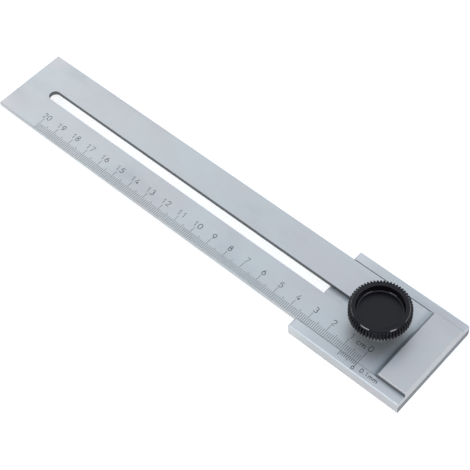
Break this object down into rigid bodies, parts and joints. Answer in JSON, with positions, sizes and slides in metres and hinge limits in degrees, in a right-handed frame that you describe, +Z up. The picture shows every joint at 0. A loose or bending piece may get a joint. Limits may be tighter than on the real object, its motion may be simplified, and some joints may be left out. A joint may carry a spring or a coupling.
{
  "type": "marking ruler",
  "caption": "Slotted steel marking ruler with a raised scribing head and a channelled stop plate that slides along the scale and is clamped by a ribbed knob.",
  "frame": {"origin": "centre of the overall bounding box in X and Y, at the stop plate's underside in Z", "axes": "+X runs along the beam from its tip towards its raised head, +Y across the beam away from the edge that carries the scale, +Z up from the stop plate's underside through the knob"},
  "size_m": [0.25, 0.05, 0.0214],
  "materials": {
    "beam_steel": "satin chromed, pale bluish grey",
    "slider_steel": "satin chromed, pale bluish grey",
    "stud_steel": "zinc plated thread",
    "knob_plastic": "black moulded, smoother in the recess",
    "washer_steel": "plated, plain"
  },
  "bodies": {
    "beam": {"beam": "beam_steel"},
    "slider": {"slider": "slider_steel"},
    "washer": {"washer": "washer_steel"},
    "clamp_screw": {"knob": "knob_plastic", "stud": "stud_steel"}
  },
  "joints": [
    {"name": "slider_slide", "type": "slide", "parent": "beam", "child": "slider", "axis": [-1, 0, 0], "range_m": [0, 0.202]},
    {"name": "screw_lift", "type": "slide", "parent": "slider", "child": "washer", "axis": [0, 0, 1], "range_m": [0, 0.0024]},
    {"name": "knob_turn", "type": "hinge", "parent": "washer", "child": "clamp_screw", "pos_m": [0.095, 0.0005, 0.0082], "axis": [0, 0, 1], "range_deg": [0, 1080]}
  ],
  "couplings": [
    {"joint": "knob_turn", "follows": "screw_lift", "rad_per_m": 7854}
  ]
}
